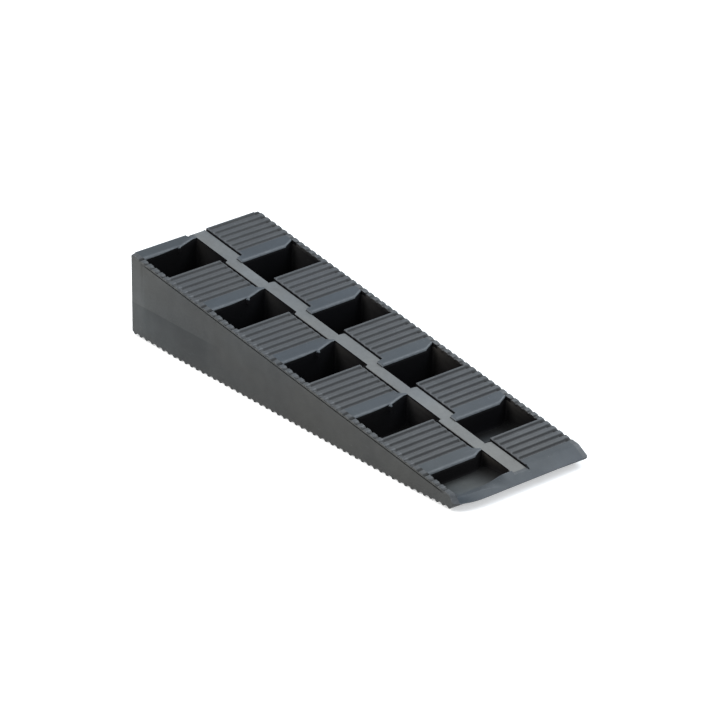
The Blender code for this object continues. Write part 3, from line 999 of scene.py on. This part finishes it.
def toe_plate():
    """The chamfered toe, which the rail, its far slit and the scooped pocket run into."""
    xs = stations(DECK_END, NOSE_X, TOE_STEP)
    ys = np.linspace(INNER_NEAR, INNER_FAR, TOE_POINTS)
    ys = np.unique(np.concatenate([ys, np.linspace(*TOE_FINE, TOE_FINE_POINTS)]))
    x, y = np.meshgrid(xs, ys, indexing="ij")
    top = chamfer(x)
    in_rail = smooth((y - TOE_RAIL_NEAR[0]) / TOE_RAIL_NEAR[1])
    in_rail = in_rail * smooth((TOE_RAIL_FAR[0] - y) / TOE_RAIL_FAR[1])
    rail_top = crest(x) - RAIL_DROP
    top = top - in_rail * np.maximum(0.0, top - rail_top)
    slit = 1.0 - smooth((np.abs(y - TOE_SLIT_Y) - TOE_SLIT_HALF) / TOE_SLIT_HALF)
    past_slit = (x - DECK_END - 0.6 * RAIL_END_SLIT) / (0.4 * RAIL_END_SLIT)
    slit = slit * (1.0 - smooth(past_slit))
    top = top - slit * np.maximum(0.0, top - (rail_top - TOE_SLIT_DEPTH))
    in_pocket = y < RAIL_NEAR - SHORTEST_STRETCH
    below = np.maximum(0.0, top - scooped_floor(x, y))
    top = np.where(in_pocket, top - below * (1.0 - scoop_closed(y)), top)
    crisp = scoop_closed(y) * in_pocket
    pocket_end = [(DECK_END, INNER_NEAR), (DECK_END, RAIL_NEAR)]
    nose = [(NOSE_X, INNER_NEAR), (NOSE_X, INNER_FAR)]
    start_drop, start_near = fillets(x, y, [(pocket_end, TOE_POCKET_RIM)])
    nose_drop, nose_near = fillets(x, y, [(nose, NOSE_RIM)])
    top = top - start_drop * crisp - nose_drop
    rings = sweep_toe(slab(x, y, top, nose_base(xs, END_RELIEF + FOOT_DEPTH)))
    edge = np.maximum(start_near * crisp, 0.8 * nose_near)
    # The toe's top takes the tread's bluer second colour, a painted sky reflection, but not where
    # the rail runs in at the deck's end
    tone_and_sheen = 1.0 - in_rail * (x < DECK_END + RAIL_ZONE_END)
    marks = {"tone_and_sheen": pad_ends(tone_and_sheen, 1, "edge"), "edge": pad_ends(edge)}
    # Painted shade in the far slit's end
    marks["painted_shade"] = pad_ends(np.minimum(1.0, 1.4 * slit))
    piece = build("toe_plate_skin", rings, False, marks)

    def choose(center, normal):
        beside_rail = not RAIL_NEAR < center.y < TREAD_FAR - RAIL_TONE_INSET
        if beside_rail or normal.z < LOOKS_UP:
            return 0
        return 1 if center.x < DECK_END + RAIL_TONE_END else 0

    return dress(piece, ["toe_plate"], [TREAD, RAIL], choose)


# ---- pockets ----

# How far a liner's top lies under the crests, its back behind the pocket's side, and its foot
# under the floor
LINER_RIM = 0.004
LINER_BACK = 0.0012
LINER_SINK = 0.0002
LINER_CORNER = 0.0045

# How far in a liner's sides stand at each share of their height, and the fillet at their foot
LINER_SIDES = [(0.0003, 1.0), (0.0004, 0.8), (0.0006, 0.5)]
FILLET_INSETS = [0.0008, 0.0013, 0.0024]
FILLET_HEIGHT = 0.002
FILLET_BEND = 0.0006

# Painted light on a pocket's sides: the deeper a pocket, the less of it reaches its far side, and a
# painted glint lies at the pocket's start
LIT_DEPTHS = [0.030, 0.055, 0.085]
LIT_BY_DEPTH = [1.0, 0.45, 0.10]
LIT_DOWN = [1.0, 0.55, 0.25, 0.05, 0.0, 0.0, 0.0, 1.0]
LIT_FALL = 1.9
GLINT = 0.25
GLINT_FALL = 7

POCKET_FLOOR_STEP = 0.0008
POCKET_FLOOR_POINTS = 49

# The toe pocket's floor: where its rise starts and ends, and how high it comes at either side
SCOOP_EDGE_FROM = -0.050
SCOOP_EDGE_WIDTH = 0.036
SCOOP_START = NEAR_POCKETS[-1][0] + 0.003
SCOOP_START_CLOSED = 0.008
SCOOP_END = DECK_END + 0.006
SCOOP_RISE = 0.0066
SCOOP_RISE_CLOSED = 0.0026

# Painted light on the floors of the last two pockets: from here on, and less beside one wall
TOE_LIGHT_FROM = 0.006
TOE_LIGHT_FADE = 0.024
TOE_LIGHT_LOSS = 0.94
TOE_CORNER_LIGHT = 0.4
TOE_CORNER_WIDTH = 0.010
TOE_CORNER_LENGTH = 0.040
FAR_LIGHT = 0.62
FAR_LIGHT_FROM = 0.014
FAR_LIGHT_FADE = 0.022
FAR_LIGHT_LOSS = 0.85
FAR_LIGHT_WIDTH = 0.018


def liner_profile(rim, floor):
    """(inset, height) down a pocket's side, round its fillet and up behind it."""
    lift = rim - floor
    profile = [(inset, floor + share * lift) for inset, share in LINER_SIDES]
    heights = [floor + min(FILLET_HEIGHT, 0.3 * lift), floor + FILLET_BEND, floor - LINER_SINK]
    profile += list(zip(FILLET_INSETS, heights))
    return profile + [(-LINER_BACK, floor - LINER_SINK), (-LINER_BACK, rim)]


def liner(name, corners, closed, replaced, floor_height, corner=LINER_CORNER):
    """The sides of a pocket: one band with rounded corners and a fillet at the floor, in painted
    shade with painted light.
    """
    path = rounded(corners, corner, closed)
    count = len(path)
    centre = sum(path, Vector((0.0, 0.0))) / count
    first_x = min(point.x for point in path)
    last_x = max(point.x for point in path)
    lit = []
    rings = []
    for number, point in enumerate(path):
        if closed or 0 < number < count - 1:
            after = path[(number + 1) % count]
            before = path[number - 1]
        else:
            after = path[min(number + 1, count - 1)]
            before = path[max(number - 1, 0)]
        run = (after - before).normalized()
        inward = Vector((-run.y, run.x))
        if inward.dot(centre - point) < 0.0:
            inward = -inward
        rim = crest(point.x) - LINER_RIM
        floor = floor_height(point.x, point.y)
        rings.append([(*(point + inward * inset), z) for inset, z in liner_profile(rim, floor)])
        reach = np.interp(rim - floor, LIT_DEPTHS, LIT_BY_DEPTH)
        share = 1.0 - (point.x - first_x) / (last_x - first_x)
        light = min(1.0, reach * share ** LIT_FALL + GLINT * share ** GLINT_FALL)
        lit.append(max(0.0, -inward.y) ** 2 * light)
    lit = np.outer(lit, LIT_DOWN)
    piece = build(name, np.array(rings), closed, {"lit": lit, "edge": np.zeros_like(lit)})
    return dress(piece, replaced, [POCKET_SHADE])


def pocket_floor(name, near, far, crest_x, height, light=None):
    """A pocket's floor, serrated underneath like the walls, in painted shade with painted light."""
    start = low(name, 0)
    xs = stations(start, high(name, 0), POCKET_FLOOR_STEP)
    x, y = np.meshgrid(xs, np.linspace(near, far, POCKET_FLOOR_POINTS), indexing="ij")
    rings = slab(x, y, height(x, y), foot(xs, crest_x))
    lit = light(x - start, y) if light else np.zeros_like(x)
    marks = {"lit": pad_ends(lit), "edge": pad_ends(np.zeros_like(x))}
    piece = build(f"{name}_skin", rings, False, marks)
    return dress(piece, [name], [SHADED_AND_LIT_FLOOR])


def flat_floor(x, y):
    return FLOOR_Z + 0.0 * x


def scoop_closed(y):
    """1 beside the rail, where the toe pocket ends at an edge, and 0 where it runs out openly."""
    return smooth((y - SCOOP_EDGE_FROM) / SCOOP_EDGE_WIDTH)


def scooped_floor(x, y):
    """The toe pocket's floor: low beside the rail, and out through the chamfer further away."""
    closed = scoop_closed(y)
    begin = SCOOP_START + SCOOP_START_CLOSED * closed
    rise = SCOOP_RISE + (SCOOP_RISE_CLOSED - SCOOP_RISE) * closed
    return FLOOR_Z + rise * smooth((x - begin) / (SCOOP_END - begin))


def light_in_toe_pocket(from_start, y):
    """Most light falls on this floor towards the toe and away from the rail."""
    along = smooth((from_start - TOE_LIGHT_FROM) / TOE_LIGHT_FADE)
    corner = smooth((y - INNER_NEAR) / TOE_CORNER_WIDTH + from_start / TOE_CORNER_LENGTH)
    in_corner = TOE_CORNER_LIGHT + (1.0 - TOE_CORNER_LIGHT) * corner
    return along * (1.0 - TOE_LIGHT_LOSS * scoop_closed(y)) * in_corner


def light_in_last_far_pocket(from_start, y):
    """Here most light falls towards the toe and beside the rail."""
    along = smooth((from_start - FAR_LIGHT_FROM) / FAR_LIGHT_FADE)
    away = smooth((y - RAIL_FAR - FAR_LIGHT_WIDTH) / FAR_LIGHT_WIDTH / 2.0)
    return FAR_LIGHT * along * (1.0 - FAR_LIGHT_LOSS * away)


def near_pockets():
    crest_x = NEAR_POCKETS[0][1]
    for number, (start, end) in enumerate(NEAR_POCKETS, 1):
        last = number == len(NEAR_POCKETS)
        bend = RAIL_NEAR - (TOE_CUT if last else NEAR_CUT)
        top = start - NEAR_RISE
        height = scooped_floor if last else flat_floor
        light = light_in_toe_pocket if last else None
        pocket_floor(f"near_pocket_floor_{number}", INNER_NEAR, RAIL_NEAR, crest_x, height, light)
        corners = [(start, INNER_NEAR), (start, bend), (top, RAIL_NEAR), (end, RAIL_NEAR)]
        replaced = [f"near_upper_web_{number}"]
        if last:
            corners.append((end, RAIL_NEAR - 2.0 * TOE_POCKET_CORNER))
        else:
            corners.append((end, INNER_NEAR))
            replaced.append(f"near_lower_web_{number}")
        corner = TOE_POCKET_CORNER if last else LINER_CORNER
        liner(f"near_pocket_liner_{number}", corners, not last, replaced, height, corner)


def far_pockets():
    crest_x = FAR_POCKETS[0][1]
    for number, (start, end) in enumerate(FAR_POCKETS, 1):
        light = light_in_last_far_pocket if number == len(FAR_POCKETS) else None
        name = f"far_pocket_floor_{number}"
        pocket_floor(name, RAIL_FAR, INNER_FAR, crest_x, flat_floor, light)
        bend = INNER_FAR - FAR_CUT
        corners = [(start, RAIL_FAR), (start, bend), (start - FAR_RISE, INNER_FAR)]
        corners += [(end, INNER_FAR), (end, RAIL_FAR)]
        replaced = [f"far_upper_web_{number}", f"far_lower_web_{number}"]
        liner(f"far_pocket_liner_{number}", corners, True, replaced, flat_floor)


near_deck()
far_deck()
centre_rail()
side_wall(
    "near_side_wall", OUTER_NEAR, INNER_NEAR, NEAR_PLATES, NEAR_POCKETS, NEAR_SMOOTH_HEEL
)
side_wall("far_side_wall", OUTER_FAR, INNER_FAR, FAR_PLATES, FAR_POCKETS, FAR_SMOOTH_HEEL)
heel_wall()
toe_plate()
near_pockets()
far_pockets()
# The centre webs take the near-black painted pocket shade
for web in ("near_centre_web", "far_centre_web"):
    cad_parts[web].material_slots[0].material = POCKET_SHADE


# ---- floor, light and camera ----

FLOOR_REACH = 9.0

# The floor glows beside the object, and up to this far inside its outline it fades to nothing
GLOW = 0.42
GLOW_FADES = (-0.045, -0.030)

WHITE = (1.0, 1.0, 1.0, 1.0)
SKY = (0.90, 0.95, 1.0, 1.0)
SKY_STRENGTH = 0.75

CAMERA_AZIMUTH = 49.6913
CAMERA_ELEVATION = 26.4387
CAMERA_ROLL = 0.4485
CAMERA_DISTANCE = 4.8772
CAMERA_LENS = 239.518
CAMERA_AIM = (-0.0078, 0.0, 0.0035)
CAMERA_SLIDE = (0.01136, 0.03306)


def beside_object(graph):
    """How far a point of the floor lies outside the object's outline."""
    place = graph.add("ShaderNodeSeparateXYZ", {"Vector": graph.place()})
    beyond_x = graph.math("SUBTRACT", graph.math("ABSOLUTE", place.outputs["X"], 0.0), NOSE_X)
    beyond_y = graph.math("SUBTRACT", graph.math("ABSOLUTE", place.outputs["Y"], 0.0), OUTER_FAR)
    return graph.math("MAXIMUM", beyond_x, beyond_y)


def floor_plane():
    mesh = bpy.data.meshes.new("studio_floor")
    corners = [(-1.0, -1.0), (1.0, -1.0), (1.0, 1.0), (-1.0, 1.0)]
    corners = [(x * FLOOR_REACH, y * FLOOR_REACH, 0.0) for x, y in corners]
    mesh.from_pydata(corners, [], [(0, 1, 2, 3)])
    floor = bpy.data.objects.new("studio_floor", mesh)
    bpy.context.scene.collection.objects.link(floor)
    graph = Graph("pale_floor")
    graph.feed(graph.shader, {"Base Color": (0.85, 0.85, 0.85, 1.0), "Roughness": 0.85})
    graph.shader.inputs["Specular IOR Level"].default_value = 0.1
    graph.shader.inputs["Emission Color"].default_value = WHITE
    glow = graph.ramp(beside_object(graph), *GLOW_FADES, 0.0, GLOW)
    graph.feed(graph.shader, {"Emission Strength": glow})
    mesh.materials.append(graph.material)


def direction_to(azimuth, elevation):
    """The direction from the object to a place. Azimuth 0 is at -y, and 90 at +x."""
    turned = math.radians(azimuth)
    raised = math.radians(elevation)
    level = math.cos(raised)
    return Vector((math.sin(turned) * level, -math.cos(turned) * level, math.sin(raised)))


def area_light(name, azimuth, elevation, distance, size, power, colour):
    """A soft panel that faces the object."""
    data = bpy.data.lights.new(name, "AREA")
    data.shape = "RECTANGLE"
    data.size, data.size_y = size
    data.energy = power
    data.color = colour
    light = bpy.data.objects.new(name, data)
    direction = direction_to(azimuth, elevation)
    light.location = direction * distance
    light.rotation_euler = direction.to_track_quat("Z", "Y").to_euler()
    bpy.context.scene.collection.objects.link(light)


def studio():
    floor_plane()
    world = bpy.data.worlds.new("studio_world")
    world.use_nodes = True
    background = world.node_tree.nodes["Background"]
    background.inputs["Color"].default_value = SKY
    background.inputs["Strength"].default_value = SKY_STRENGTH
    bpy.context.scene.world = world
    area_light("front_panel", -12.0, 42.0, 2.4, (1.2, 1.0), 34.0, (1.0, 0.98, 0.95))
    area_light("back_panel", 178.0, 42.0, 3.4, (3.2, 1.6), 70.0, (0.86, 0.93, 1.0))
    area_light("toe_panel", 82.0, 30.0, 3.0, (1.6, 0.8), 8.0, (0.95, 0.98, 1.0))
    bpy.context.scene.view_settings.view_transform = "Standard"


def camera():
    """A long lens a few metres away, which looks down on the near side from beyond the toe."""
    data = bpy.data.cameras.new("view_camera")
    data.sensor_width = 36.0
    data.lens = CAMERA_LENS
    data.clip_end = 60.0
    seen = bpy.data.objects.new("view_camera", data)
    bpy.context.scene.collection.objects.link(seen)
    back = direction_to(CAMERA_AZIMUTH, CAMERA_ELEVATION)
    turned = math.radians(CAMERA_AZIMUTH)
    right = Vector((math.cos(turned), math.sin(turned), 0.0))
    up = back.cross(right)
    roll = math.radians(CAMERA_ROLL)
    across_view = right * math.cos(roll) + up * math.sin(roll)
    up_view = up * math.cos(roll) - right * math.sin(roll)
    place = Vector(CAMERA_AIM) + back * CAMERA_DISTANCE
    place += across_view * CAMERA_SLIDE[0] + up_view * CAMERA_SLIDE[1]
    matrix = Matrix((across_view, up_view, back)).transposed().to_4x4()
    matrix.translation = place
    seen.matrix_world = matrix
    bpy.context.scene.camera = seen


studio()
camera()
